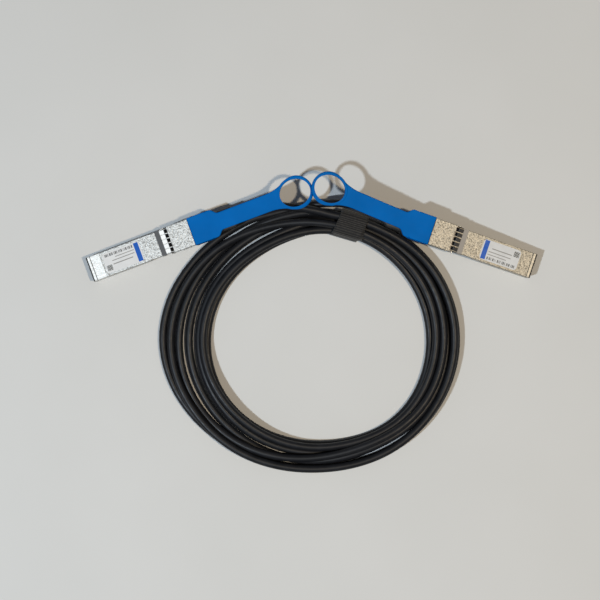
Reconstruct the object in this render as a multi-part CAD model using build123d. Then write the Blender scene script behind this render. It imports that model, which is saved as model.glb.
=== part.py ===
from build123d import *
import math
import os

# A direct attach copper cable: two die-cast plugs with moulded pull tabs, one coiled twinax
# cable between them and a hook-and-loop strap round the bundle. Millimetres, +Z up, table at z = 0.
# A plug is modelled in its own frame: X from its tip towards the cable, Y across, Z up from its
# underside. It is then placed by its tip, its heading in the plan and its pitch off the table.

# Where the two plugs lie: tip (x, y), heading of the cable end, pitch, swing of the pull tab
PLUGS = {
    "left": {"tip": (-118.53, -22.34), "heading": 20.1, "pitch": 5.2, "tab_swing": 0.1},
    "right": {"tip": (118.47, -20.34), "heading": 161.4, "pitch": 6.8, "tab_swing": -3.7},
}

# Die-cast housing
nose_width = 13.5
housing_height = 8.5
nose_length = 46.8
tail_width = 14.6
tail_length = 11.7
neck_length = 13.0
parting_height = 4.2
side_wall = 0.9
floor_wall = 1.1
roof_wall = 1.2
front_wall = 1.6
rear_wall = 2.0
edge_round = 0.35
fuse = 0.2

# Side grooves that the release arms run in
groove_floor_half = 5.8
groove_low = 1.9
groove_high = 5.1
arm_lead = 6.5
running_gap = 0.1

# Neck, the lower and narrower rear of the housing that carries the slider
neck_height = 7.7

# Mating end
mouth_width = 10.6
mouth_low = 2.3
mouth_high = 6.3
nose_line_at = 2.0
nose_line_width = 0.35
nose_line_depth = 0.2

# Label and its recess
label_recess_start = 7.8
label_recess_setback = 8.7
label_recess_width = 11.8
label_recess_depth = 0.3
label_recess_round = 2.2
label_end_gap = 0.85
label_side_gap = 0.4
label_thickness = 0.12

# Paddle card
card_width = 9.2
card_thickness = 1.0
card_start = 1.2
card_rear_gap = 8.5
ledge_width = 0.45
peg_inset = 4.8
peg_length = 1.5
peg_hold = 0.7
pad_count = 10
pad_margin = 0.6
pad_gap = 0.25
pad_length = 3.6
pad_thickness = 0.05
pad_setback = 0.5

# Parts on the card
chip_length = 4.9
chip_width = 3.9
chip_height = 1.4
chip_setback = 17.0
capacitor_length = 1.0
capacitor_width = 0.5
capacitor_height = 0.5
capacitor_pitch = 1.6
capacitor_setback = 7.8

# Latch pocket and lug on the underside
pocket_length = 6.6
pocket_rear_gap = 0.7
pocket_depth = 1.1
pocket_roof = 0.7
lug_length = 3.4
lug_width = 2.8
lug_setback = 1.8
lug_ramp = 1.2
lug_clear = 0.1

# Spring collar
collar_length = 7.1
collar_band = 2.6
collar_seat_depth = 0.3
collar_thickness = 0.22
finger_rise = 0.62
finger_crown = 0.62
finger_top_count = 5
finger_side_count = 3
finger_gap = 0.5

# Steel release slider
steel = 0.35
bridge_setback = 1.4
bridge_length = 8.2
arm_low = 2.2
arm_high = 4.8
wedge_length = 1.3
wedge_reach = 3.4
wedge_gap = 0.8
travel = 2.5

# Blue pull tab, moulded on the slider's bridge
tab_gap = 0.3
tab_base_wall = 1.35
tab_corner_round = 3.0
tab_blend = 1.2
tab_base_low = 1.3
tab_skin = 1.6
tab_plate = 1.6
strip_width = 9.4
strip_end_round = 24.0
shoulder_length = 5.0
ring_centre_at = 60.0
ring_radius = 9.0
hole_half_length = 8.35
hole_half_width = 7.3
hole_shift = -0.7
bead_width = 1.35
bead_thickness = 2.0
bead_round = 0.5
tab_edge_round = 0.6

# Two return springs, each in a trough in the neck's roof
spring_wire = 0.3
spring_radius = 0.75
spring_across = 3.6
spring_setback = 3.5
spring_length = 5.0
spring_coils = 6
trough_lead = 1.0
trough_depth = 2.0
trough_gap = 0.1
trough_wall = 0.5

# Shell screw
screw_setback = 3.9
screw_radius = 0.8
screw_head_radius = 1.5
screw_head_height = 0.7
screw_hold = 2.0
post_radius = 1.4
screw_gap = 0.03

# Cable end
cable_diameter = 4.2
core_skin = 0.1
boot_length = 16.5
boot_width = 11.6
boot_height = 6.2
boot_square_length = 10.5
boot_end_radius = 2.7
boot_neck_radius = 2.7
boot_flange = 1.5
boot_flange_width = 8.0
boot_flange_drop = 2.5
boot_flange_rise = 0.6
boot_round = 1.5
ferrule_thickness = 0.3
ferrule_length = 5.0
pair_width = 2.0
pair_height = 1.3
pair_spacing = 5.0
pair_overlap = 2.0
pair_bend = 8.0
core_drop = 0.3

# Coil: centre in the plan, and its outline as clock angle, inner and outer radius of the layer on
# the table, and inner and outer radius of the turns on top of it
coil_centre = (3.57, -59.44)
coil_outline = [
    (0, 57.2, 72.6, 59.5, 70.0),
    (29, 60.0, 71.0, 62.0, 70.2),
    (61, 58.1, 75.0, 62.0, 74.4),
    (90, 58.9, 77.4, 62.4, 76.0),
    (113, 59.9, 76.6, 61.5, 75.2),
    (135, 60.1, 75.2, 61.6, 74.6),
    (156, 57.6, 73.8, 58.4, 73.0),
    (180, 55.7, 72.6, 57.4, 71.4),
    (209, 57.0, 74.4, 58.0, 73.8),
    (238, 59.2, 80.4, 60.0, 77.0),
    (265, 59.0, 87.2, 61.0, 69.0),
    (290, 57.2, 84.0, 59.0, 69.0),
    (312, 55.6, 77.6, 56.6, 72.6),
    (334, 55.0, 73.6, 55.6, 68.6),
]
coil_layer = 4.2
coil_height = 8.2
crown_height = 12.4
crown_top_radius = 10.0
crown_foot_radius = 34.0
crown_inner = 61.2
crown_outer = 67.2
plug_clearance = 0.3

# Hook-and-loop strap round the bundle
strap_angle = 16.5
strap_width = 15.0
strap_radius = 63.9
strap_inside_width = 12.7
strap_inside_height = 11.5
strap_thickness = 1.2
strap_corner = 3.6

# The two leads, as points after the strain relief: clock angle, radius and height
LEAD_ROUTES = {
    "left": [(-12.0, 72.3, 12.0), (-1.0, 68.6, 11.2), (7.0, 66.6, 10.8)],
    "right": [
        (12.5, 73.7, 14.0),
        (4.8, 73.0, 10.1),
        (-3.4, 72.1, 6.0),
        (-12.0, 71.4, 4.2),
        (-21.0, 71.8, 3.9),
    ],
}
lead_start_run = 9.5
arc_share = 0.45

# Values that follow from the ones above
tail_end = nose_length + tail_length
neck_end = tail_end + neck_length
collar_start = nose_length - collar_length
arm_start = collar_start - arm_lead
label_recess_end = collar_start - label_recess_setback
label_length = label_recess_end - label_recess_start - 2 * label_end_gap
label_width = label_recess_width - 2 * label_side_gap
pocket_end = collar_start - pocket_rear_gap
pocket_start = pocket_end - pocket_length
lug_at = pocket_start + lug_setback
screw_at = tail_end - screw_setback
tab_front = tail_end + tab_gap
tab_base_length = neck_length - 2 * tab_gap
bridge_start = tab_front + bridge_setback
bridge_end = bridge_start + bridge_length
spring_start = tab_front + spring_setback
trough_start = spring_start - trough_lead
neck_half = groove_floor_half
arm_inner = groove_floor_half + running_gap
arm_outer = arm_inner + steel
tab_base_width = 2 * (arm_outer + tab_base_wall)
bridge_low = neck_height + running_gap
bridge_high = bridge_low + steel
tab_top = bridge_high + tab_skin
cavity_half = groove_floor_half - side_wall
card_half = card_width / 2
pad_pitch = (card_width - 2 * pad_margin) / pad_count
pad_width = pad_pitch - pad_gap
card_bottom = parting_height - card_thickness / 2
card_top = card_bottom + card_thickness
card_end = tail_end - card_rear_gap
chip_at = card_end - chip_setback
capacitor_at = card_start + capacitor_setback
screw_length = parting_height + screw_hold
cavity_roof = housing_height - roof_wall
neck_roof = neck_height - side_wall
cavity_end = neck_end - rear_wall
cable_axis = parting_height
ferrule_end = cavity_end - boot_flange
ferrule_start = ferrule_end - ferrule_length
pair_start = card_end - pair_overlap
collar_end = nose_length
boot_end = neck_end + boot_length
plate_start = tab_front + tab_base_length - tab_blend
trough_end = spring_start + spring_length + running_gap
wedge_low = lug_clear + 2 * running_gap


def box(x0, x1, y0, y1, z0, z1):
    """A block from its two corners."""
    return Pos(x0, y0, z0) * Box(x1 - x0, y1 - y0, z1 - z0, align=(Align.MIN, Align.MIN, Align.MIN))


def centred(x0, x1, half, z0, z1):
    """A block that is symmetric across the plug."""
    return box(x0, x1, -half, half, z0, z1)


def flank(side, x0, x1, inner, outer, z0, z1):
    """A block on one side of the plug, from an inner to an outer distance from its centre plane."""
    return box(x0, x1, min(side * inner, side * outer), max(side * inner, side * outer), z0, z1)


def upright(x, y, radius, z0, z1):
    """A vertical cylinder."""
    return Pos(x, y, z0) * Cylinder(radius, z1 - z0, align=(Align.CENTER, Align.CENTER, Align.MIN))


def lengthwise(radius, x0, x1, z):
    """A cylinder along the plug on its centre plane."""
    turned = Pos(x0, 0, z) * Rot(0, 90, 0)
    return turned * Cylinder(radius, x1 - x0, align=(Align.CENTER, Align.CENTER, Align.MIN))


def housing_outside():
    """Nose, wider tail and narrow neck as one block, with broken long edges."""
    nose = centred(0, nose_length, nose_width / 2, 0, housing_height)
    nose = fillet(nose.edges().filter_by(Axis.X), edge_round)
    tail = centred(nose_length, tail_end, tail_width / 2, 0, housing_height)
    tail = fillet(tail.edges().filter_by(Axis.X), edge_round)
    neck = centred(tail_end, neck_end, neck_half, 0, neck_height)
    return nose + tail + neck


def housing_cuts():
    """What is taken out of both shells: seat of the collar, side grooves, mouth and inside."""
    seat_half = nose_width / 2 - collar_seat_depth
    seat = centred(collar_start, collar_end, nose_width, -1, housing_height + 1)
    seat_high = housing_height - collar_seat_depth
    seat -= centred(collar_start, collar_end, seat_half, collar_seat_depth, seat_high)
    cuts = seat
    groove_start = arm_start - wedge_gap
    for side in (-1, 1):
        cuts += flank(side, groove_start, neck_end, groove_floor_half, tail_width, groove_low, groove_high)
    cuts += centred(-1, front_wall, mouth_width / 2 - 0.4, mouth_low, mouth_high)
    cuts += centred(front_wall, cavity_end, cavity_half, card_bottom, neck_roof)
    cuts += centred(front_wall, tail_end - side_wall, cavity_half, card_bottom, cavity_roof)
    cuts += centred(front_wall, cavity_end, card_half - ledge_width, floor_wall, card_bottom)
    cuts += lengthwise(boot_neck_radius, cavity_end - 1, neck_end + 1, cable_axis)
    return cuts


def lower_shell():
    """Floor and lower side walls, with the card's ledges, the latch lug and the screw's post."""
    shell = housing_outside() - housing_cuts()
    shell &= centred(-1, neck_end + 1, tail_width, -1, parting_height)
    shell -= centred(pocket_start, pocket_end, tail_width, -1, pocket_depth)
    roof_high = pocket_depth + pocket_roof
    roof = centred(pocket_start - 1, pocket_end + fuse, groove_floor_half, pocket_depth, roof_high)
    shell += roof
    notch_end = arm_start + wedge_length + travel + wedge_gap
    notch_start = arm_start - wedge_gap
    for side in (-1, 1):
        shell -= flank(side, notch_start, notch_end, groove_floor_half, tail_width, -1, groove_low + 1)
    lug_profile = Polyline(
        (lug_at, pocket_depth),
        (lug_at + lug_ramp, lug_clear),
        (lug_at + lug_length, lug_clear),
        (lug_at + lug_length, pocket_depth),
        close=True,
    )
    lug = extrude(Plane.XZ * make_face(lug_profile), amount=lug_width / 2, both=True)
    shell += lug
    post = upright(screw_at, 0, post_radius, floor_wall, parting_height)
    shell += post
    shell -= upright(screw_at, 0, screw_radius + screw_gap, -1, parting_height + 1)
    shell -= upright(screw_at, 0, screw_head_radius + screw_gap, -1, screw_head_height)
    return shell


def upper_shell():
    """Roof and upper side walls, with the label's recess, the springs' troughs and the card's pegs."""
    shell = housing_outside() - housing_cuts()
    shell &= centred(-1, neck_end + 1, tail_width, parting_height, housing_height + 1)
    recess_length = label_recess_end - label_recess_start
    recess_middle = (label_recess_start + label_recess_end) / 2
    recess_plan = RectangleRounded(recess_length, label_recess_width, label_recess_round)
    recess_bottom = housing_height - label_recess_depth
    shell -= Pos(recess_middle, 0, recess_bottom) * extrude(recess_plan, 1.0)
    line_end = nose_line_at + nose_line_width
    line_bottom = housing_height - nose_line_depth
    shell -= centred(nose_line_at, line_end, nose_width, line_bottom, housing_height + 1)
    peg_top = cavity_roof + fuse
    for peg_at in (card_start + peg_inset, card_end - peg_inset):
        for side in (-1, 1):
            peg_end = peg_at + peg_length
            inner = card_half - peg_hold
            shell += flank(side, peg_at, peg_end, inner, cavity_half + fuse, card_top, peg_top)
    shell += upright(screw_at, 0, post_radius, parting_height, cavity_roof + fuse)
    shell -= upright(screw_at, 0, screw_radius + screw_gap, parting_height - 1, screw_length + screw_gap)
    trough_half = spring_radius + spring_wire / 2 + trough_gap
    trough_bottom = neck_height - trough_depth
    wall_half = trough_half + trough_wall
    block_start = trough_start - trough_wall
    block_end = trough_end + trough_wall
    block_low = trough_bottom - trough_wall
    block = centred(block_start, block_end, wall_half, block_low, neck_roof + fuse)
    trough = centred(trough_start, trough_end, trough_half, trough_bottom, neck_height + 1)
    for side in (-1, 1):
        across = Pos(0, side * spring_across, 0)
        shell += across * block
        shell -= across * trough
    return shell


def paddle_card():
    """The small circuit board, clamped between the shells."""
    card = centred(card_start, card_end, card_half, card_bottom, card_top)
    return chamfer(card.edges().filter_by(Axis.Y).group_by(Axis.X)[0], 0.25)


def contact_fingers():
    """Ten plated pads on each face of the card's leading edge."""
    pads = []
    first = card_start + pad_setback
    for index in range(pad_count):
        y = (index - (pad_count - 1) / 2) * pad_pitch
        for low in (card_top, card_bottom - pad_thickness):
            pad = centred(first, first + pad_length, pad_width / 2, low, low + pad_thickness)
            pads.append(Pos(0, y, 0) * pad)
    return Compound(children=pads)


def memory_chip():
    """The moulded memory chip on the card."""
    body = centred(chip_at, chip_at + chip_length, chip_width / 2, card_top, card_top + chip_height)
    return chamfer(body.faces().sort_by(Axis.Z)[-1].edges(), 0.2)


def coupling_capacitors():
    """Four small ceramic blocks in the signal lines."""
    blocks = []
    for index in range(4):
        y = (index - 1.5) * capacitor_pitch
        y0 = y - capacitor_width / 2
        x1 = capacitor_at + capacitor_length
        blocks.append(box(capacitor_at, x1, y0, y0 + capacitor_width, card_top, card_top + capacitor_height))
    return Compound(children=blocks)


def spring_collar():
    """Stamped collar: a band round the nose, and sprung fingers bowed out all the way round."""
    half_in = nose_width / 2 - collar_seat_depth
    low_in = collar_seat_depth
    high_in = housing_height - collar_seat_depth
    band_end = collar_start + collar_band
    low_out = low_in - collar_thickness
    high_out = high_in + collar_thickness
    band = centred(collar_start, band_end, half_in + collar_thickness, low_out, high_out)
    band -= centred(collar_start - 1, band_end + 1, half_in, low_in, high_in)
    crown_at = band_end + (collar_end - band_end) * finger_crown
    thick = collar_thickness
    finger_profile = Polyline(
        (band_end - 0.3, 0),
        (band_end, 0),
        (crown_at, finger_rise - thick + 0.3),
        (collar_end - 0.35, 0.05),
        (collar_end - 0.1, 0.05),
        (collar_end - 0.1, 0.05 + thick),
        (collar_end - 0.35, 0.05 + thick),
        (crown_at, finger_rise + 0.3),
        (band_end, thick),
        (band_end - 0.3, thick),
        close=True,
    )
    finger_face = Plane.XZ * make_face(finger_profile)
    top_pitch = 2 * half_in / finger_top_count
    side_pitch = (high_in - low_in) / finger_side_count
    collar = band
    middle = (low_in + high_in) / 2
    for index in range(finger_top_count):
        y = (index - (finger_top_count - 1) / 2) * top_pitch
        finger = extrude(finger_face, (top_pitch - finger_gap) / 2, both=True)
        collar += Pos(0, y, high_in) * finger
        collar += Pos(0, y, low_in) * Rot(180, 0, 0) * finger
    for index in range(finger_side_count):
        z = middle + (index - (finger_side_count - 1) / 2) * side_pitch
        finger = extrude(finger_face, (side_pitch - finger_gap) / 2, both=True)
        collar += Pos(0, -half_in, z) * Rot(90, 0, 0) * finger
        collar += Pos(0, half_in, z) * Rot(-90, 0, 0) * finger
    return collar


def release_slider():
    """Bent steel strip: a bridge over the neck, an arm in each side groove, wedge tips below."""
    bridge = centred(bridge_start, bridge_end, arm_outer, arm_low, bridge_high)
    bridge -= centred(bridge_start - 1, bridge_end + 1, arm_inner, arm_low - 1, bridge_low)
    slider = bridge
    tip_end = arm_start + wedge_length
    tip_inner = arm_outer - wedge_reach
    pusher_end = spring_start - running_gap
    pusher_low = neck_height - trough_depth + 2 * running_gap
    pusher = centred(pusher_end - steel, pusher_end, spring_radius, pusher_low, bridge_high)
    for side in (-1, 1):
        slider += flank(side, arm_start, bridge_start + 1, arm_inner, arm_outer, arm_low, arm_high)
        slider += flank(side, arm_start, tip_end, arm_inner, arm_outer, wedge_low, arm_high)
        slider += flank(side, arm_start, tip_end, tip_inner, arm_outer, wedge_low, wedge_low + steel)
        slider += Pos(0, side * spring_across, 0) * pusher
    return slider


def tab_outline():
    """Plan of the tab behind its base: shoulder, strip, flare and finger ring, from x = 0."""
    half = tab_base_width / 2
    overlap = tab_edge_round + fuse
    strip = strip_width / 2
    centre = ring_centre_at + tab_front - plate_start
    reach = ring_radius + strip_end_round
    rise = strip + strip_end_round
    run = math.sqrt(reach * reach - rise * rise)
    flare_start = centre - run
    touch = ring_radius / reach
    touch_x = centre - run * touch
    touch_y = rise * touch
    flare_angle = math.atan2(run, rise)
    mid = flare_angle / 2
    flare_mid_x = flare_start + strip_end_round * math.sin(mid)
    flare_mid_y = rise - strip_end_round * math.cos(mid)
    step = half - strip
    shoulder_end = tab_blend + shoulder_length
    edges = []
    for side in (1, -1):
        edges.append(Line((-overlap, side * half), (tab_blend, side * half)))
        edges.append(
            Spline(
                (tab_blend, side * half),
                (tab_blend + shoulder_length / 2, side * (strip + step / 2)),
                (shoulder_end, side * strip),
                tangents=[(1, 0), (1, 0)],
            )
        )
        edges.append(Line((shoulder_end, side * strip), (flare_start, side * strip)))
        begin = (flare_start, side * strip)
        middle = (flare_mid_x, side * flare_mid_y)
        edges.append(ThreePointArc(begin, middle, (touch_x, side * touch_y)))
    edges.append(ThreePointArc((touch_x, touch_y), (centre + ring_radius, 0), (touch_x, -touch_y)))
    edges.append(Line((-overlap, half), (-overlap, -half)))
    return make_face(Wire.combine(edges)[0].edges()), centre


def pull_tab(swing):
    """Moulded tab: a base wrapped over the slider, then a strip that ends in a finger ring."""
    base_end = tab_front + tab_base_length
    base = centred(tab_front, base_end, tab_base_width / 2, tab_base_low, tab_top)
    base = fillet(base.edges().filter_by(Axis.Z).group_by(Axis.X)[-1], tab_corner_round)
    base = fillet(base.faces().sort_by(Axis.Z)[-1].edges(), tab_edge_round)
    base -= centred(tab_front - 1, base_end + 1, arm_outer, tab_base_low - 1, bridge_high)
    outline, centre = tab_outline()
    plate = extrude(outline, tab_plate)
    hole_plan = Ellipse(hole_half_length, hole_half_width)
    hole = Pos(centre + hole_shift, 0, -1) * extrude(hole_plan, tab_plate + 2)
    bead_plan = Ellipse(hole_half_length + bead_width, hole_half_width + bead_width)
    bead_low = (tab_plate - bead_thickness) / 2
    bead = Pos(centre + hole_shift, 0, bead_low) * extrude(bead_plan, bead_thickness)
    plate = fillet(plate.edges().filter_by(Axis.Z, reverse=True).group_by(Axis.Z)[-1], tab_edge_round)
    plate = plate - hole
    bead = bead - hole
    bead = fillet(bead.edges().filter_by(GeomType.ELLIPSE), bead_round)
    plate_low = tab_top - tab_plate
    placed = Pos(plate_start, 0, plate_low) * Rot(0, 0, swing)
    return base + placed * (plate + bead)


def return_springs():
    """Two fine helical springs that push the slider forward."""
    pitch = spring_length / spring_coils
    helix = Helix(pitch, spring_length - spring_wire, spring_radius)
    start = helix ^ 0
    section = Plane(start.position, z_dir=helix % 0) * Circle(spring_wire / 2)
    coil = sweep(section, path=helix, is_frenet=True)
    height = neck_height - trough_depth + spring_radius + spring_wire / 2 + 0.02
    first = spring_start + spring_wire / 2
    springs = [Pos(first, side * spring_across, height) * Rot(0, 90, 0) * coil for side in (-1, 1)]
    return Compound(children=springs)


def shell_screw():
    """Countersunk screw from below that holds the two shells together."""
    head = upright(screw_at, 0, screw_head_radius, 0.1, screw_head_height)
    shank = upright(screw_at, 0, screw_radius, screw_head_height, screw_length)
    slot = centred(screw_at - 1.0, screw_at + 1.0, 0.2, -1, 0.35)
    cross = box(screw_at - 0.2, screw_at + 0.2, -1.0, 1.0, -1, 0.35)
    return head + shank - slot - cross


def label():
    """Blank adhesive label in the recess."""
    middle = (label_recess_start + label_recess_end) / 2
    plan = RectangleRounded(label_length, label_width, label_recess_round - 0.4)
    return Pos(middle, 0, housing_height - label_recess_depth) * extrude(plan, label_thickness)


def strain_relief():
    """Moulded boot: a flange and a spigot inside the housing, a flat block and a taper outside."""
    block_end = neck_end + boot_square_length
    block_low = cable_axis - boot_height / 2
    block = centred(neck_end, block_end, boot_width / 2, block_low, block_low + boot_height)
    block = fillet(block.edges().filter_by(Axis.X), boot_round)
    end_plane = Plane((block_end, 0, cable_axis), x_dir=(0, 1, 0), z_dir=(1, 0, 0))
    far_plane = Plane((boot_end, 0, cable_axis), x_dir=(0, 1, 0), z_dir=(1, 0, 0))
    wide = end_plane * RectangleRounded(boot_width, boot_height, boot_round)
    small = 2 * boot_end_radius
    narrow = far_plane * RectangleRounded(small, small, boot_end_radius - 0.1)
    taper = loft([wide, narrow])
    flange_low = cable_axis - boot_flange_drop
    flange_high = cable_axis + boot_flange_rise
    flange = centred(cavity_end - boot_flange, cavity_end, boot_flange_width / 2, flange_low, flange_high)
    throat = lengthwise(boot_neck_radius, cavity_end, neck_end, cable_axis)
    spigot = lengthwise(cable_diameter / 2 - core_skin, ferrule_start, cavity_end, cable_axis - core_drop)
    return block + taper + flange + throat + spigot


def crimp_ferrule():
    """Crimped sleeve on the cable's end."""
    inner = cable_diameter / 2 - core_skin
    outer = inner + ferrule_thickness
    height = cable_axis - core_drop
    sleeve = lengthwise(outer, ferrule_start, ferrule_end, height)
    return sleeve - lengthwise(inner, ferrule_start - 1, ferrule_end + 1, height)


def signal_pairs():
    """Two shielded pairs from the ferrule to the card's rear edge."""
    pairs = []
    for side in (-1, 1):
        y = side * pair_spacing / 2
        path_end = (ferrule_start, side * pair_width / 2, cable_axis - core_drop)
        over = card_top + pair_height / 2
        first = Plane((pair_start, y, over), x_dir=(0, 1, 0), z_dir=(1, 0, 0))
        second = Plane((card_end + 1.0, y, over), x_dir=(0, 1, 0), z_dir=(1, 0, 0))
        third = Plane((ferrule_start - pair_bend, y, over), x_dir=(0, 1, 0), z_dir=(1, 0, 0))
        fourth = Plane(path_end, x_dir=(0, 1, 0), z_dir=(1, 0, 0))
        oval = RectangleRounded(pair_width, pair_height, pair_height / 2 - 0.05)
        end_oval = RectangleRounded(pair_width - 0.2, pair_height, pair_height / 2 - 0.05)
        straight = loft([first * oval, second * oval])
        middle = loft([second * oval, third * oval])
        bent = loft([third * oval, fourth * end_oval])
        pairs.append(straight + middle + bent)
    return Compound(children=pairs)


def plug_location(side):
    """The place of a plug: its tip on the table, its tail lifted by the pitch."""
    place = PLUGS[side]
    heading = math.radians(place["heading"])
    pitch = math.radians(place["pitch"])
    along = (math.cos(heading) * math.cos(pitch), math.sin(heading) * math.cos(pitch), math.sin(pitch))
    up = (-math.cos(heading) * math.sin(pitch), -math.sin(heading) * math.sin(pitch), math.cos(pitch))
    tip_x, tip_y = place["tip"]
    return Plane(origin=(tip_x, tip_y, 0), x_dir=along, z_dir=up).location


def clock_point(angle, radius, height=0.0):
    """A point by its clock angle about the coil's centre."""
    turn = math.radians(angle)
    return Vector(coil_centre[0] + radius * math.sin(turn), coil_centre[1] + radius * math.cos(turn), height)


def strap_shape(width, height, length, corner):
    """A rounded block round the bundle, along the cable at the strap."""
    turn = math.radians(strap_angle)
    along = (math.cos(turn), -math.sin(turn), 0)
    across = (math.sin(turn), math.cos(turn), 0)
    middle_height = strap_thickness + strap_inside_height / 2
    centre = clock_point(strap_angle, strap_radius, middle_height)
    plane = Plane(origin=centre, x_dir=across, z_dir=along)
    return extrude(plane * RectangleRounded(width, height, corner), length / 2, both=True)


def strap_outside():
    """Width and height over the closed strap."""
    return strap_inside_width + 2 * strap_thickness, strap_inside_height + 2 * strap_thickness


def strap():
    """Woven hook-and-loop strap, closed round the bundle."""
    outer = strap_shape(*strap_outside(), strap_width, strap_corner + strap_thickness)
    inner = strap_shape(strap_inside_width, strap_inside_height, strap_width + 2, strap_corner)
    return outer - inner


def ring_block(outline, low, high):
    """A ring between two smooth closed curves, given as clock angle, inner and outer radius."""
    inner_points = [clock_point(angle, inner, low) for angle, inner, outer in outline]
    outer_points = [clock_point(angle, outer, low) for angle, inner, outer in outline]
    inner_wire = Wire([Spline(*inner_points, periodic=True)])
    outer_wire = Wire([Spline(*outer_points, periodic=True)])
    return extrude(Face(outer_wire, [inner_wire]), high - low, dir=(0, 0, 1))


def plug_room(side):
    """The space over the coil that a plug's rear keeps, open upwards."""
    gap = plug_clearance
    tab_end = tab_front + tab_base_length + travel + gap
    high = 3 * housing_height
    room = centred(0, neck_end + gap, tail_width / 2 + gap, -gap, high)
    room += centred(tab_front, tab_end, tab_base_width / 2 + gap, tab_base_low - gap, high)
    room += centred(neck_end, boot_end + gap, boot_width / 2 + gap, cable_axis - boot_height / 2 - gap, high)
    return plug_location(side) * room


def cable_coil():
    """The wound turns as one closed body with their outer shape, highest in the strap."""
    lower = ring_block([row[:3] for row in coil_outline], 0, coil_layer)
    upper = ring_block([(row[0], row[3], row[4]) for row in coil_outline], coil_layer, coil_height)
    x, y, z = clock_point(strap_angle, strap_radius, coil_height)
    rise = crown_height - coil_height
    on_base = (Align.CENTER, Align.CENTER, Align.MIN)
    crown = Pos(x, y, z) * Cone(crown_foot_radius, crown_top_radius, rise, align=on_base)
    centre_x, centre_y = coil_centre
    crown &= upright(centre_x, centre_y, crown_outer, coil_height, crown_height)
    crown -= upright(centre_x, centre_y, crown_inner, coil_height - 1, crown_height + 1)
    coil = lower + upper + crown - strap_shape(*strap_outside(), strap_width, strap_corner + strap_thickness)
    coil += strap_shape(strap_inside_width, strap_inside_height, strap_width, strap_corner)
    for side in PLUGS:
        coil -= plug_room(side)
    return coil


def cable_lead(side):
    """One lead, from the strain relief into the coil: straight runs joined by tangent arcs."""
    place = plug_location(side)
    start = (place * Location((boot_end, 0, cable_axis))).position
    next_point = (place * Location((boot_end + lead_start_run, 0, cable_axis))).position
    points = [start, next_point] + [clock_point(*spot) for spot in LEAD_ROUTES[side]]
    radii = []
    for before, corner, after in zip(points, points[1:], points[2:]):
        turn = (corner - before).get_angle(after - corner)
        shorter = min((corner - before).length, (after - corner).length)
        radii.append(arc_share * shorter / math.tan(math.radians(turn) / 2))
    path = FilletPolyline(*points, radius=radii)
    section = Plane(start, z_dir=next_point - start) * Circle(cable_diameter / 2)
    tube = sweep(section, path=path)
    ideal = math.pi * (cable_diameter / 2) ** 2 * path.length
    print(side, "lead points", [tuple(round(value, 2) for value in point) for point in points])
    print(side, "lead length", round(path.length, 1), "radii", [round(radius, 1) for radius in radii])
    print(side, "lead volume against section times length", round(tube.volume / ideal, 4))
    return tube


PLUG_PARTS = {
    "lower_shell": lower_shell,
    "upper_shell": upper_shell,
    "paddle_card": paddle_card,
    "contact_fingers": contact_fingers,
    "memory_chip": memory_chip,
    "coupling_capacitors": coupling_capacitors,
    "spring_collar": spring_collar,
    "release_slider": release_slider,
    "return_springs": return_springs,
    "shell_screw": shell_screw,
    "label": label,
    "strain_relief": strain_relief,
    "crimp_ferrule": crimp_ferrule,
    "signal_pairs": signal_pairs,
}

os.makedirs("parts", exist_ok=True)
for part_name, make_part in PLUG_PARTS.items():
    shape = make_part()
    for side in PLUGS:
        export_step(plug_location(side) * shape, f"parts/{side}_{part_name}.step")
for side, plug_place in PLUGS.items():
    export_step(plug_location(side) * pull_tab(plug_place["tab_swing"]), f"parts/{side}_pull_tab.step")
    export_step(cable_lead(side), f"parts/{side}_cable_lead.step")
export_step(cable_coil(), "parts/cable_coil.step")
export_step(strap(), "parts/bundle_strap.step")
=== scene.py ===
import bmesh
import bpy
import math
import numpy as np
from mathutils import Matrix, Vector


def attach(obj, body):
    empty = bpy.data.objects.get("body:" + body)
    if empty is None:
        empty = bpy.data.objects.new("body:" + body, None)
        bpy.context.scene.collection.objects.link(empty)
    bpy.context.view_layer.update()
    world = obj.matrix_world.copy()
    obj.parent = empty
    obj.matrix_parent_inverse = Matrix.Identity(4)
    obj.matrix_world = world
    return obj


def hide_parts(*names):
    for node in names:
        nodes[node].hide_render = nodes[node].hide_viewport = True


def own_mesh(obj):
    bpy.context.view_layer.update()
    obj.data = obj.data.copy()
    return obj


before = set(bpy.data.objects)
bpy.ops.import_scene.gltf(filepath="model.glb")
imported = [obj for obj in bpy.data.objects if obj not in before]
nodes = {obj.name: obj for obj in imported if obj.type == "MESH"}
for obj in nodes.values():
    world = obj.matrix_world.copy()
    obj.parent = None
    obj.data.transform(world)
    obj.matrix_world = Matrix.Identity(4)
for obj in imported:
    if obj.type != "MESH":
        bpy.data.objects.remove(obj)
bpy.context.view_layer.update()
MM = 0.001

# The view is straight down on the table, from above the middle of the bundle, with the rings of
# the two tabs towards the top of the picture. The lens shows a field 326.7 mm wide on the table.
camera_height = 0.7
camera_place = (-0.00623, -0.03884, camera_height)
field_width = 0.3267
sensor_width = 36.0

camera_data = bpy.data.cameras.new("overhead")
camera_data.sensor_width = sensor_width
camera_data.lens = sensor_width * camera_height / field_width
camera_data.clip_start = 0.01
camera_data.clip_end = 10.0
camera = bpy.data.objects.new("overhead", camera_data)
camera.location = camera_place
bpy.context.scene.collection.objects.link(camera)
bpy.context.scene.camera = camera

# Twinax cable, 4.2 mm over a satin black jacket, one length of about 3 m from plug to plug. It is
# wound seven times round by hand, so the turns lie beside and on each other, tight where the strap
# holds them and fanned out on the far left. A push-apart loop keeps every turn a diameter off the next.
cable_diameter = 4.2 * MM
winding_centre = (3.57 * MM, -59.44 * MM)
photo_pixel = 0.5445 * MM
clock_knots = (9, 24, 61, 90, 113, 135, 154, 180, 209, 235, 270, 315, 332)
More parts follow.
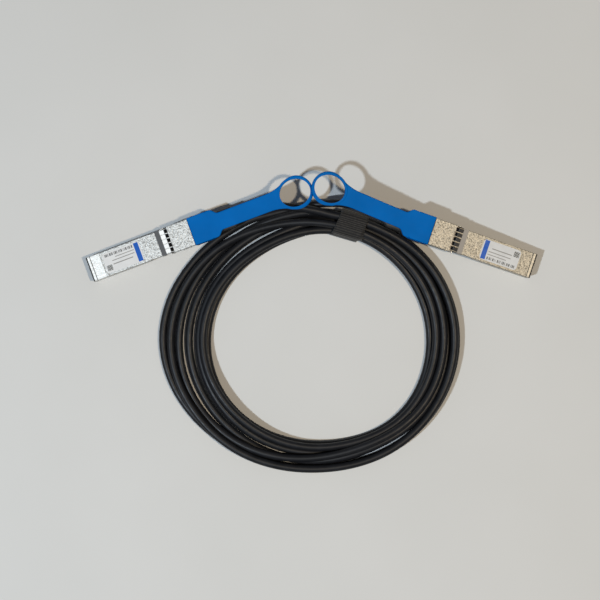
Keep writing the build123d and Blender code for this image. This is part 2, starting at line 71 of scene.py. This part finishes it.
# Each turn, as radius in the photograph's pixels and height in mm at those clock angles
turns = [
    [(121.9, 10.6), (121.9, 10.6), (134.2, 6.3), (136.9, 6.2), (135.5, 6.2), (134.3, 6.3), (131.5, 6.1),
     (128, 5.9), (135, 6.2), (141.5, 6.1), (149, 2.1), (134, 5.6), (121.3, 6.3)],
    [(114.1, 10.6), (114.1, 10.6), (118.7, 6.3), (119.5, 6.2), (117, 5.8), (118.5, 5.9), (109.5, 6.3),
     (109.5, 5.8), (110, 6.2), (113, 9), (116.8, 5.7), (108, 6.2), (104.4, 8)],
    [(110.2, 6.95), (110.2, 6.95), (110.9, 2.1), (112.4, 2.1), (113.5, 2.1), (114.9, 2.1), (109.9, 2.1),
     (106.4, 2.1), (108.9, 2.1), (113.2, 2.1), (111.9, 2.1), (106.5, 2.1), (104.8, 2.1)],
    [(114, 3.3), (114, 3.3), (118.7, 2.1), (120.2, 2.1), (121.3, 2.1), (122.6, 2.1), (117.3, 2.1),
     (114.2, 2.1), (116.6, 2.1), (117.5, 5.5), (119.6, 2.1), (114.3, 2.1), (110.5, 5)],
    [(122, 3.3), (122, 3.3), (126.5, 2.1), (129, 2.1), (129.2, 2.1), (126, 5.6), (117, 6.3),
     (122, 2.1), (124.8, 2.1), (127.5, 2.1), (130.5, 2.1), (122.3, 2.1), (121, 2.1)],
    [(118, 6.95), (118, 6.95), (126.4, 6.3), (125.5, 5.9), (125, 5.8), (122.5, 9.4), (113.5, 9.7),
     (118, 5.8), (129.5, 5.6), (139.4, 2.1), (141.2, 2.1), (131.5, 2.1), (128, 2.1)],
    [(125.8, 6.95), (125.8, 6.95), (134.8, 2.1), (139, 2.1), (137.3, 2.1), (134.8, 2.1), (129.3, 2.1),
     (129.9, 2.1), (133, 2.1), (145.5, 2.6), (158.7, 2.1), (140.3, 2.1)],
]
# The two leads between strain relief and winding: end of the boot, its direction, then points as
# clock angle, radius and height in mm
lead_run = 9.5
left_boot_end = Vector((-36.59, 7.65, 12.16))
left_boot_axis = Vector((0.9352, 0.3423, 0.0906))
left_points = [(-12.0, 72.3, 12.0), (-1.0, 68.6, 11.2), (7.0, 66.6, 10.8)]
right_boot_end = Vector((36.12, 7.37, 14.59))
right_boot_axis = Vector((-0.9411, 0.3167, 0.1184))
right_points = [(-21.0, 71.8, 3.9), (-12.0, 71.4, 4.2), (-3.4, 72.1, 6.0), (4.8, 73.0, 10.1),
                (12.5, 73.7, 14.0)]
# The winding's points stand this many degrees apart. Turns closer than the spacing push each other
# off by a share of what is missing, and in the early rounds the push is softened now and then.
clock_step = 15
turn_spacing = 1.01 * cable_diameter
over_strap = 3.3 * MM
push_share = 0.3
push_rounds = 400
soft_rounds = 300
soften_every = 15


def clock_point(angle, radius, height):
    """A point by its clock angle about the winding's centre, in metres."""
    turn = math.radians(angle)
    x, y = winding_centre
    return (x + radius * math.sin(turn), y + radius * math.cos(turn), height)


def soften(values):
    """Each value drawn a little towards its two neighbours."""
    eased = values.copy()
    eased[1:-1] = (values[:-2] + 2 * values[1:-1] + values[2:]) / 4
    return eased


def wound_turns():
    """The winding's points: the drawn turns, pushed apart where they meet. The ends of the two leads
    push with them, and stay where they are."""
    whole = 360 * len(turns)
    drawn = [(angle, radius * MM, height * MM) for angle, radius, height in left_points[:2]]
    for number, turn in enumerate(turns):
        for angle, (pixels, height) in zip(clock_knots, turn):
            radius = pixels * photo_pixel * (1 - height * MM / camera_height)
            drawn.append((360 * number + angle, radius, height * MM))
    drawn += [(whole + angle, radius * MM, height * MM) for angle, radius, height in right_points[:4]]
    angles, radii, heights = zip(*drawn)
    stations = np.arange(-2 * clock_step, whole + 2 * clock_step + 1, clock_step)
    free = (stations >= clock_step) & (stations <= whole - 2 * clock_step)
    drawn_radius = np.interp(stations, angles, radii)
    drawn_height = np.interp(stations, angles, heights)
    drawn_radius = np.where(free, soften(drawn_radius), drawn_radius)
    drawn_height = np.where(free, soften(drawn_height), drawn_height)
    resting = np.where(stations % 360 == clock_step, over_strap, cable_diameter / 2)
    radius = drawn_radius.copy()
    height = drawn_height.copy()
    per_turn = 360 // clock_step
    for attempt in range(push_rounds):
        out = np.zeros_like(radius)
        up = np.zeros_like(radius)
        for hop in range(per_turn, len(stations), per_turn):
            across = radius[hop:] - radius[:-hop]
            above = height[hop:] - height[:-hop]
            apart = np.maximum(np.hypot(across, above), 1e-6)
            push = push_share * np.maximum(turn_spacing - apart, 0) / apart
            out[:-hop] -= across * push
            out[hop:] += across * push
            up[:-hop] -= above * push
            up[hop:] += above * push
        moved_out = radius + out * free - drawn_radius
        moved_up = height + up * free - drawn_height
        if attempt < soft_rounds and attempt % soften_every == soften_every - 1:
            moved_out = np.where(free, soften(moved_out), moved_out)
            moved_up = np.where(free, soften(moved_up), moved_up)
        radius = drawn_radius + moved_out
        height = np.maximum(drawn_height + moved_up, resting)
    outside = 1 / math.cos(math.radians(clock_step / 2))
    return [clock_point(angle, out * outside, up)
            for angle, out, up, own in zip(stations, radius, height, free) if own]


def lead_route(boot_end, boot_axis, points):
    """A lead's points from its strain relief into the winding, in metres."""
    route = [tuple(boot_end * MM), tuple((boot_end + lead_run * boot_axis) * MM)]
    return route + [clock_point(angle, radius * MM, height * MM) for angle, radius, height in points]


cable_route = lead_route(left_boot_end, left_boot_axis, left_points)
cable_route += wound_turns()
cable_route += lead_route(right_boot_end, right_boot_axis, right_points[::-1])[::-1]

guide_curve = bpy.data.curves.new("cable_guide", "CURVE")
guide_curve.dimensions = "3D"
guide_curve.resolution_u = 5
spline = guide_curve.splines.new("NURBS")
spline.points.add(len(cable_route) - 1)
for point, place in zip(spline.points, cable_route):
    point.co = (*place, 1.0)
spline.order_u = 3
spline.use_endpoint_u = True
guide = bpy.data.objects.new("cable_guide", guide_curve)
bpy.context.scene.collection.objects.link(guide)
line = bpy.data.meshes.new_from_object(guide)
guide_curve.bevel_depth = cable_diameter / 2
guide_curve.bevel_resolution = 5
guide_curve.use_fill_caps = True
mesh = bpy.data.meshes.new_from_object(guide)
for face in mesh.polygons:
    face.use_smooth = True
cable = bpy.data.objects.new("cable", mesh)
bpy.context.scene.collection.objects.link(cable)
bpy.data.objects.remove(guide)
bpy.data.curves.remove(guide_curve)
bpy.data.meshes.remove(line)
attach(cable, "root")
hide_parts("cable_coil", "left_cable_lead", "right_cable_lead")


def finish(name):
    """A new finish, with its node tree and its surface shader."""
    material = bpy.data.materials.new(name)
    material.use_nodes = True
    tree = material.node_tree
    return material, tree, tree.nodes["Principled BSDF"]


def object_place(tree):
    """Where a point of the piece is, in the frame that all pieces share."""
    return tree.nodes.new("ShaderNodeTexCoord").outputs["Object"]


def grain(tree, place, waves, layers=2.0):
    """Smooth random grain over a place, with that many waves to the metre."""
    node = tree.nodes.new("ShaderNodeTexNoise")
    node.inputs["Scale"].default_value = waves
    node.inputs["Detail"].default_value = layers
    tree.links.new(place, node.inputs["Vector"])
    return node.outputs["Fac"]


def shades(tree, value, *stops):
    """A value turned into greys or colours, through stops of value and shade."""
    node = tree.nodes.new("ShaderNodeValToRGB")
    elements = node.color_ramp.elements
    while len(elements) < len(stops):
        elements.new(0.5)
    for element, (at, shade) in zip(elements, stops):
        element.position = at
        element.color = (*shade, 1.0) if isinstance(shade, tuple) else (shade, shade, shade, 1.0)
    tree.links.new(value, node.inputs["Fac"])
    return node.outputs["Color"]


def grained(tree, place, waves, low, high, layers=2.0, spread=(0.3, 0.7)):
    """A shade that wavers over a place between two others, as grain does."""
    return shades(tree, grain(tree, place, waves, layers), (spread[0], low), (spread[1], high))


def surface(tree, shader, tone, roughness):
    """The colour and the roughness of a surface, both from what varies over it."""
    tree.links.new(tone, shader.inputs["Base Color"])
    tree.links.new(roughness, shader.inputs["Roughness"])


def relief(tree, shader, height, depth, under=None):
    """A relief of that depth in metres on the surface, over another relief if one is given."""
    node = tree.nodes.new("ShaderNodeBump")
    node.inputs["Distance"].default_value = depth
    tree.links.new(height, node.inputs["Height"])
    if under is not None:
        tree.links.new(under, node.inputs["Normal"])
    tree.links.new(node.outputs["Normal"], shader.inputs["Normal"])
    return node.outputs["Normal"]


jacket_black, tree, shader = finish("jacket_black")
place = object_place(tree)
mottle = grained(tree, place, 160, (0.006, 0.0065, 0.008), (0.011, 0.0115, 0.014), 3)
surface(tree, shader, mottle, grained(tree, place, 420, 0.38, 0.50, 3))
shader.inputs["Specular IOR Level"].default_value = 0.26
relief(tree, shader, grain(tree, place, 2600), 0.012 * MM)
mesh.materials.clear()
mesh.materials.append(jacket_black)

# Woven nylon hook-and-loop strap round the bundle. It starts on top, goes down the inner side, under
# the turns and up again, and laps over itself. Its cut end stands out on the inner side.
strap_width = 15.0 * MM
strap_layer = 0.55 * MM
strap_clock = 16.5
strap_radius = 63.9
strap_height = 6.95
strap_inside_width = 12.7
strap_inside_height = 11.5
strap_corner = 3.6
strap_lap = 0.40
strap_slant = 2.6
woven_length = 0.059
rib_count = 56
rib_height = 0.07
# How far the tape stands off the bundle, how much the lap and the free end add, and the share of
# the way round at which each starts to climb
stand_off = 0.32
lap_rise, lap_from = 0.6, 0.93
end_rise, end_from = 1.3, 1.33
climb = 0.07


def strap_way(share):
    """Out from the bundle's middle and up from it, in mm, a share of the way round and its lap."""
    flat = strap_inside_width / 2 - strap_corner
    upright = strap_inside_height / 2 - strap_corner
    bend = math.pi / 2 * strap_corner
    runs = [("flat", flat, upright, 90, 2 * flat), ("bend", -flat, upright, 90, bend),
            ("flat", -flat, upright, 180, 2 * upright), ("bend", -flat, -upright, 180, bend),
            ("flat", -flat, -upright, 270, 2 * flat), ("bend", flat, -upright, 270, bend),
            ("flat", flat, -upright, 360, 2 * upright), ("bend", flat, upright, 0, bend)]
    left = (share % 1.0) * sum(run[4] for run in runs)
    for kind, out, up, facing, length in runs:
        if left <= length:
            break
        left -= length
    facing = math.radians(facing) + (left / strap_corner if kind == "bend" else 0)
    if kind == "flat":
        out -= math.sin(facing) * left
        up += math.cos(facing) * left
    layer = stand_off + lap_rise * min(max((share - lap_from) / climb, 0), 1)
    layer += rib_height * math.sin(2 * math.pi * rib_count * share / (1 + strap_lap))
    layer += end_rise * min(max((share - end_from) / climb, 0), 1) ** 2
    reach = strap_corner + layer
    return out + reach * math.cos(facing), up + reach * math.sin(facing)


turn = math.radians(strap_clock)
strap_out = Vector((math.sin(turn), math.cos(turn), 0.0))
strap_along = Vector((math.cos(turn), -math.sin(turn), 0.0))
bundle_middle = Vector(clock_point(strap_clock, strap_radius * MM, strap_height * MM))
mesh = bpy.data.meshes.new("strap")
bm = bmesh.new()
bm.loops.layers.uv.new("weave")
bmesh.ops.create_grid(bm, x_segments=4 * rib_count, y_segments=14, size=0.5, calc_uvs=True)
for vert in bm.verts:
    share = (vert.co.x + 0.5) * (1 + strap_lap)
    out, up = strap_way(share)
    slant = strap_slant * max(share - 1, 0) / strap_lap
    shift = vert.co.y * strap_width - slant * MM
    vert.co = bundle_middle + strap_out * out * MM + strap_along * shift
    vert.co.z += up * MM
bmesh.ops.recalc_face_normals(bm, faces=bm.faces)
for face in bm.faces:
    face.smooth = True
bm.to_mesh(mesh)
bm.free()
strap = bpy.data.objects.new("strap", mesh)
bpy.context.scene.collection.objects.link(strap)
wall = strap.modifiers.new("woven_thickness", "SOLIDIFY")
wall.thickness = strap_layer
wall.offset = 0.0
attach(strap, "root")
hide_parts("bundle_strap")


def bands(tree, place, waves, axis, wobble=0.0):
    """Even ribs along one axis of a place, with that many to the metre."""
    node = tree.nodes.new("ShaderNodeTexWave")
    node.bands_direction = axis
    node.inputs["Scale"].default_value = waves * math.pi / 10
    node.inputs["Distortion"].default_value = wobble
    node.inputs["Detail Scale"].default_value = 2.0
    tree.links.new(place, node.inputs["Vector"])
    return node.outputs["Fac"]


strap_nylon, tree, shader = finish("strap_nylon")
own_map = tree.nodes.new("ShaderNodeUVMap")
own_map.uv_map = "weave"
stretch = tree.nodes.new("ShaderNodeMapping")
stretch.inputs["Scale"].default_value = (woven_length, strap_width, 1.0)
tree.links.new(own_map.outputs["UV"], stretch.inputs["Vector"])
place = stretch.outputs["Vector"]
ribs = bands(tree, place, rib_count / woven_length, "X", 0.6)
yarn = bands(tree, place, 1650, "Y", 1.2)
fuzz = tree.nodes.new("ShaderNodeMix")
fuzz.data_type = "RGBA"
fuzz.blend_type = "MULTIPLY"
fuzz.inputs["Factor"].default_value = 1.0
# Rib tops painted lighter and the hollows between them darker: painted light and shade of the weave
tone = shades(tree, ribs, (0.25, (0.006, 0.006, 0.007)), (0.85, (0.030, 0.027, 0.023)))
tree.links.new(tone, fuzz.inputs["A"])
tree.links.new(grained(tree, place, 900, 0.45, 1.4, 3, spread=(0.3, 0.72)), fuzz.inputs["B"])
surface(tree, shader, fuzz.outputs["Result"], shades(tree, yarn, (0.0, 0.62), (1.0, 0.85)))
shader.inputs["Specular IOR Level"].default_value = 0.3
shader.inputs["Sheen Weight"].default_value = 0.15
under = relief(tree, shader, yarn, 0.05 * MM)
relief(tree, shader, ribs, 0.06 * MM, under)
mesh.materials.append(strap_nylon)

# Housings: a lower and an upper shell for each plug, die-cast in zinc and nickel plated. The skin is a
# coarse speckle, with a painted highlight behind the tip, painted shade in a dark groove and a painted
# shadow at the rim of the mouth. Each side's tint is painted light, for the light that its plug lies
# in. Lengths are in mm from the tip.
plug_places = {"left": ((-118.53, -22.34), 20.1, 5.2), "right": ((118.47, -20.34), 161.4, 6.8)}
# Painted light: each plug's tint is the colour of the lamp light on it, warm on the right
cast_light_tints = {"left": (0.98, 0.98, 0.95), "right": (0.86, 0.79, 0.66)}
# Speckle from dull to bright, then the level of the painted highlight behind the tip
cast_levels = (0.26, 0.60, 0.70)
before_tip = -1
# Painted highlight: a plain bright band from the tip back this far on each side
highlight_ends = {"left": 7.4, "right": 1.9}
# Painted shadow at the rim of the mouth, and painted shade in the groove behind it
mouth_rim, rim_painted_shadow = 0.7, (0.03, 0.03, 0.028)
nose_groove, groove_painted_shade = (1.95, 2.4), (0.16, 0.155, 0.14)


def paint(material, *names):
    """The finish put on solids that come as they are."""
    for name in names:
        solid = nodes[name].data
        solid.materials.clear()
        solid.materials.append(material)


def plug_place(tree, side):
    """Where a point is on its plug: from the tip, across, and up from the underside, in metres."""
    (tip_x, tip_y), heading, pitch = plug_places[side]
    node = tree.nodes.new("ShaderNodeMapping")
    node.vector_type = "TEXTURE"
    node.inputs["Location"].default_value = (tip_x * MM, tip_y * MM, 0.0)
    node.inputs["Rotation"].default_value = (0.0, -math.radians(pitch), math.radians(heading))
    tree.links.new(object_place(tree), node.inputs["Vector"])
    return node.outputs["Vector"]


def within(tree, value, low, high):
    """One where a value is between two limits, given in mm, and nothing elsewhere."""
    node = tree.nodes.new("ShaderNodeMath")
    node.operation = "COMPARE"
    tree.links.new(value, node.inputs[0])
    node.inputs[1].default_value = (low + high) / 2 * MM
    node.inputs[2].default_value = (high - low) / 2 * MM
    return node.outputs[0]


def along_plug(tree, place):
    """The three parts of a place: along the plug, across it and up."""
    node = tree.nodes.new("ShaderNodeSeparateXYZ")
    tree.links.new(place, node.inputs["Vector"])
    return node.outputs


def over(tree, ground, cover, share):
    """A cover laid on a ground colour where its share is one."""
    node = tree.nodes.new("ShaderNodeMix")
    node.data_type = "RGBA"
    tree.links.new(ground, node.inputs["A"])
    if isinstance(cover, tuple):
        node.inputs["B"].default_value = (*cover, 1.0)
    else:
        tree.links.new(cover, node.inputs["B"])
    tree.links.new(share, node.inputs["Factor"])
    return node.outputs["Result"]


for side in ("left", "right"):
    cast_zinc, tree, shader = finish(side + "_cast_zinc")
    place = plug_place(tree, side)
    along = along_plug(tree, place)["X"]
    dull, bright, highlight_tone = (tuple(level * part for part in cast_light_tints[side]) for level in cast_levels)
    tone = grained(tree, place, 1700, dull, bright, 3, spread=(0.38, 0.52))
    # Painted highlight: the plain bright band behind the tip
    tone = over(tree, tone, highlight_tone, within(tree, along, before_tip, highlight_ends[side]))
    # Painted shade in the groove, and painted shadow at the rim of the mouth
    tone = over(tree, tone, groove_painted_shade, within(tree, along, *nose_groove))
    tone = over(tree, tone, rim_painted_shadow, within(tree, along, before_tip, mouth_rim))
    surface(tree, shader, tone, grained(tree, place, 700, 0.54, 0.66))
    shader.inputs["Metallic"].default_value = 0.8
    under = relief(tree, shader, grain(tree, place, 3600), 0.02 * MM)
    relief(tree, shader, grain(tree, place, 1150, 1), 0.18 * MM, under)
    paint(cast_zinc, side + "_lower_shell", side + "_upper_shell")

# Paddle cards: green circuit board with a faint relief of tracks, gold-plated contact fingers at the
# mouth, one memory chip and four coupling capacitors with tinned ends.
card_green, tree, shader = finish("card_green")
place = object_place(tree)
mask = grained(tree, place, 500, (0.012, 0.085, 0.045), (0.02, 0.13, 0.07), spread=(0.35, 0.65))
surface(tree, shader, mask, grained(tree, place, 260, 0.28, 0.4))
relief(tree, shader, bands(tree, place, 1100, "DIAGONAL", 3.0), 0.02 * MM)
paint(card_green, "left_paddle_card", "right_paddle_card")

contact_gold, tree, shader = finish("contact_gold")
place = object_place(tree)
plating = grained(tree, place, 600, (0.78, 0.55, 0.20), (0.88, 0.66, 0.30))
surface(tree, shader, plating, grained(tree, place, 900, 0.22, 0.34))
shader.inputs["Metallic"].default_value = 1.0
relief(tree, shader, grain(tree, place, 3000), 0.004 * MM)
paint(contact_gold, "left_contact_fingers", "right_contact_fingers")

chip_epoxy, tree, shader = finish("chip_epoxy")
place = object_place(tree)
surface(tree, shader, grained(tree, place, 800, 0.012, 0.022), grained(tree, place, 900, 0.55, 0.7))
relief(tree, shader, grain(tree, place, 5000), 0.012 * MM)
paint(chip_epoxy, "left_memory_chip", "right_memory_chip")

capacitor_middle = 9.5
half_body = 0.26
for side in ("left", "right"):
    ceramic, tree, shader = finish(side + "_capacitor_ceramic")
    place = plug_place(tree, side)
    fired = grained(tree, place, 900, (0.28, 0.18, 0.10), (0.38, 0.26, 0.16))
    tinned = grained(tree, place, 700, (0.6, 0.6, 0.58), (0.7, 0.7, 0.68))
    along = along_plug(tree, place)["X"]
    body = within(tree, along, capacitor_middle - half_body, capacitor_middle + half_body)
    surface(tree, shader, over(tree, tinned, fired, body), shades(tree, body, (0.0, 0.32), (1.0, 0.5)))
    tree.links.new(shades(tree, body, (0.0, 1.0), (1.0, 0.0)), shader.inputs["Metallic"])
    relief(tree, shader, grain(tree, place, 4000), 0.008 * MM)
    paint(ceramic, side + "_coupling_capacitors")

# Spring collars: stamped from thin spring steel and nickel plated, with a faint rolling grain along the
# plug. Band and fingers are painted with the reflections and highlights that each plug shows in its
# light, and the rear is painted shade.
# Release sliders: bent from stainless strip with a coarser grain.
# Painted reflections: a tone for the band and one for the fingers, on each side
collar_reflections = {"left": ((0.05, 0.05, 0.052), (0.92, 0.92, 0.91)),
                "right": ((0.25, 0.225, 0.20), (0.03, 0.028, 0.027))}
collar_front, fingers_front, fingers_rear = 39, 42.35, 44.95
# Painted shade at the collar's rear
collar_rear, rear_painted_shade = (45.2, 47), (0.05, 0.047, 0.045)
matt_roughness = (0.5, 0.5, 0.5)


def rolled_steel(name, side, waves, low, high):
    """Strip steel with its grain along the plug: its finish, tree, shader, tone and roughness."""
    steel, tree, shader = finish(side + name)
    drawn = tree.nodes.new("ShaderNodeMapping")
    drawn.inputs["Scale"].default_value = (0.08, 1.0, 1.0)
    tree.links.new(plug_place(tree, side), drawn.inputs["Vector"])
    lines = grain(tree, drawn.outputs["Vector"], waves, 4)
    tone = shades(tree, lines, (0.3, (0.50, 0.50, 0.49)), (0.7, (0.60, 0.60, 0.59)))
    shader.inputs["Metallic"].default_value = 1.0
    relief(tree, shader, lines, 0.0015 * MM)
    return steel, tree, shader, tone, shades(tree, lines, (0.3, low), (0.7, high))


for side, (band_reflection, finger_reflection) in collar_reflections.items():
    collar_steel, tree, shader, tone, smooth = rolled_steel("_collar_steel", side, 1500, 0.13, 0.19)
    along = along_plug(tree, plug_place(tree, side))["X"]
    # Painted reflections on band and fingers, and painted shade at the rear
    tone = over(tree, tone, band_reflection, within(tree, along, collar_front, fingers_front))
    tone = over(tree, tone, finger_reflection, within(tree, along, fingers_front, fingers_rear))
    tone = over(tree, tone, rear_painted_shade, within(tree, along, *collar_rear))
    matt = within(tree, along, collar_front, fingers_rear)
    surface(tree, shader, tone, over(tree, smooth, matt_roughness, matt))
    tree.links.new(shades(tree, matt, (0.0, 1.0), (1.0, 0.0)), shader.inputs["Metallic"])
    paint(collar_steel, side + "_spring_collar")

    slider_steel, tree, shader, tone, smooth = rolled_steel("_slider_steel", side, 900, 0.30, 0.42)
    surface(tree, shader, tone, smooth)
    paint(slider_steel, side + "_release_slider")

# Small steel: the return springs of bright wire, and the plated screw that closes the shells. Each
# spring is coiled cold, sits in its trough and shortens to half when its slider is pulled back.
spring_bright, tree, shader = finish("spring_bright")
place = object_place(tree)
surface(tree, shader, grained(tree, place, 900, 0.55, 0.68), grained(tree, place, 1500, 0.18, 0.3))
shader.inputs["Metallic"].default_value = 1.0
relief(tree, shader, grain(tree, place, 5000), 0.003 * MM)
merge_distance = 0.0005 * MM
for side in ("left", "right"):
    (tip_x, tip_y), heading, pitch = plug_places[side]
    heading, pitch = math.radians(heading), math.radians(pitch)
    level = math.cos(pitch)
    along = Vector((math.cos(heading) * level, math.sin(heading) * level, math.sin(pitch)))
    mesh = nodes[side + "_return_springs"].data.copy()
    bm = bmesh.new()
    bm.from_mesh(mesh)
    bmesh.ops.remove_doubles(bm, verts=bm.verts, dist=merge_distance)
    for face in bm.faces:
        face.smooth = True
    bm.to_mesh(mesh)
    bm.free()
    mesh.materials.clear()
    mesh.materials.append(spring_bright)
    springs = bpy.data.objects.new(side + "_springs", mesh)
    bpy.context.scene.collection.objects.link(springs)
    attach(springs, "root")
    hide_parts(side + "_return_springs")
    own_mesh(springs)

screw_plating, tree, shader = finish("screw_plating")
place = object_place(tree)
plating = grained(tree, place, 700, (0.42, 0.42, 0.44), (0.54, 0.54, 0.55))
surface(tree, shader, plating, grained(tree, place, 1200, 0.3, 0.45))
shader.inputs["Metallic"].default_value = 1.0
relief(tree, shader, grain(tree, place, 2500), 0.008 * MM)
paint(screw_plating, "left_shell_screw", "right_shell_screw")

# Labels: white film stuck in the recess on top of each plug, with a plain blue band at the cable end
# and plain grey fields with nothing to read. Fields are given from the tip and across, in mm.
# The right label's white is a little darker: painted shade, for the light that it lies in
label_lit_whites = {"left": 0.66, "right": 0.60}
label_rules = [(15.4, 26.2, 1.75, 2.15), (13.2, 26.0, 0.15, 0.6), (13.2, 24.6, -1.85, -1.3)]
label_bars = (9.9, 26.0, 3.2, 4.7)
label_square = (9.3, 12.3, -4.3, -1.3)
label_band = (26.8, 29.4, -5.15, 5.15)
rule_grey = (0.27, 0.26, 0.25)
band_blue = (0.003, 0.085, 0.42)
square_cells = 1667


def field(tree, parts, x0, x1, y0, y1):
    """One inside a rectangle on the label, and nothing outside."""
    node = tree.nodes.new("ShaderNodeMath")
    node.operation = "MULTIPLY"
    tree.links.new(within(tree, parts["X"], x0, x1), node.inputs[0])
    tree.links.new(within(tree, parts["Y"], y0, y1), node.inputs[1])
    return node.outputs[0]


for side, white in label_lit_whites.items():
    film, tree, shader = finish(side + "_label_film")
    place = plug_place(tree, side)
    parts = along_plug(tree, place)
    tone = grained(tree, place, 300, white - 0.04, white + 0.02)
    for rule in label_rules:
        tone = over(tree, tone, rule_grey, field(tree, parts, *rule))
    strokes = tree.nodes.new("ShaderNodeMapping")
    strokes.inputs["Scale"].default_value = (1.0, 0.0, 0.0)
    tree.links.new(place, strokes.inputs["Vector"])
    bars = grained(tree, strokes.outputs["Vector"], 1500, 0.10, 0.64, spread=(0.46, 0.54))
    tone = over(tree, tone, bars, field(tree, parts, *label_bars))
    check = tree.nodes.new("ShaderNodeTexChecker")
    check.inputs["Scale"].default_value = square_cells
    check.inputs["Color1"].default_value = (0.06, 0.06, 0.06, 1)
    check.inputs["Color2"].default_value = (0.42, 0.42, 0.41, 1)
    tree.links.new(place, check.inputs["Vector"])
    tone = over(tree, tone, check.outputs["Color"], field(tree, parts, *label_square))
    tone = over(tree, tone, band_blue, field(tree, parts, *label_band))
    surface(tree, shader, tone, grained(tree, place, 500, 0.34, 0.46))
    shader.inputs["Specular IOR Level"].default_value = 0.15
    relief(tree, shader, grain(tree, place, 800), 0.01 * MM)
    paint(film, side + "_label")

# Strain reliefs: black rubber-like moulding over the cable's end, flat at the housing and tapered
# down to the cable, with a fine spark-eroded skin.
boot_black, tree, shader = finish("boot_black")
place = object_place(tree)
surface(tree, shader, grained(tree, place, 300, 0.010, 0.018, 3), grained(tree, place, 700, 0.46, 0.6))
relief(tree, shader, grain(tree, place, 3200), 0.02 * MM)
paint(boot_black, "left_strain_relief", "right_strain_relief")

# Cable ends inside the plugs: a crimped brass ferrule, and the two signal pairs in their foil. Both
# are cut back, crimped and soldered before the shells close over them.
ferrule_brass, tree, shader = finish("ferrule_brass")
place = object_place(tree)
brass = grained(tree, place, 500, (0.50, 0.38, 0.18), (0.62, 0.49, 0.26))
surface(tree, shader, brass, grained(tree, place, 900, 0.28, 0.42))
shader.inputs["Metallic"].default_value = 1.0
relief(tree, shader, bands(tree, place, 900, "X", 1.0), 0.02 * MM)
paint(ferrule_brass, "left_crimp_ferrule", "right_crimp_ferrule")

pair_foil, tree, shader = finish("pair_foil")
place = object_place(tree)
surface(tree, shader, grained(tree, place, 600, 0.62, 0.74), grained(tree, place, 1100, 0.25, 0.42))
shader.inputs["Metallic"].default_value = 1.0
relief(tree, shader, grain(tree, place, 1400, 3), 0.05 * MM)
paint(pair_foil, "left_signal_pairs", "right_signal_pairs")

# Pull tabs: blue polypropylene, moulded over the slider's bridge, satin with a faint eroded texture.
# The long flat strip sinks a little between its edges as it cools, so its shine wavers.
tab_blue, tree, shader = finish("tab_blue")
place = object_place(tree)
blue = grained(tree, place, 60, (0.0, 0.105, 0.370), (0.0002, 0.125, 0.440), 3)
surface(tree, shader, blue, grained(tree, place, 350, 0.54, 0.64, 3))
shader.inputs["Specular IOR Level"].default_value = 0.04
under = relief(tree, shader, grain(tree, place, 2400), 0.008 * MM)
relief(tree, shader, grain(tree, place, 70, 1), 0.25 * MM, under)
paint(tab_blue, "left_pull_tab", "right_pull_tab")

# Table top: plain, pale and matt, with the faintest unevenness of tone. It only carries the part and
# its shadows, and isn't one of its pieces.
table_size = 6.0
mesh = bpy.data.meshes.new("table_top")
bm = bmesh.new()
bmesh.ops.create_grid(bm, x_segments=1, y_segments=1, size=table_size / 2)
bm.to_mesh(mesh)
bm.free()
table = bpy.data.objects.new("table_top", mesh)
bpy.context.scene.collection.objects.link(table)
table_grey, tree, shader = finish("table_grey")
pale = grained(tree, object_place(tree), 12, (0.590, 0.588, 0.576), (0.610, 0.607, 0.597), 3)
tree.links.new(pale, shader.inputs["Base Color"])
shader.inputs["Roughness"].default_value = 0.8
shader.inputs["Specular IOR Level"].default_value = 0.1
mesh.materials.append(table_grey)

# Two small lamps, both from the near side: a cool one on the left and a warm one on the right, each
# turned to the middle of the bundle. The room gives the rest of the light evenly.
lamp_aim = Vector((0.0, -0.035, 0.0))
lamp_distance = 1.3
lamp_size = 0.06
room_tone = (0.108, 0.117, 0.133, 1.0)
for name, plan, elevation, watts, tint in (
        ("cool_lamp", (-0.885, -0.465), 58.9, 9.8, (0.876, 1.0, 1.116)),
        ("warm_lamp", (0.975, -0.22), 71.3, 6.65, (1.19, 1.0, 0.743))):
    rise = math.radians(elevation)
    towards = Vector((*plan, 0.0)).normalized() * math.cos(rise) + Vector((0, 0, math.sin(rise)))
    lamp = bpy.data.lights.new(name, "AREA")
    lamp.size = lamp_size
    lamp.energy = watts
    lamp.color = tint
    light = bpy.data.objects.new(name, lamp)
    light.location = lamp_aim + towards * lamp_distance
    light.rotation_euler = (-towards).to_track_quat("-Z", "Y").to_euler()
    bpy.context.scene.collection.objects.link(light)

world = bpy.data.worlds.new("room")
bpy.context.scene.world = world
world.use_nodes = True
world.node_tree.nodes["Background"].inputs["Color"].default_value = room_tone

bpy.context.scene.view_settings.view_transform = "Standard"
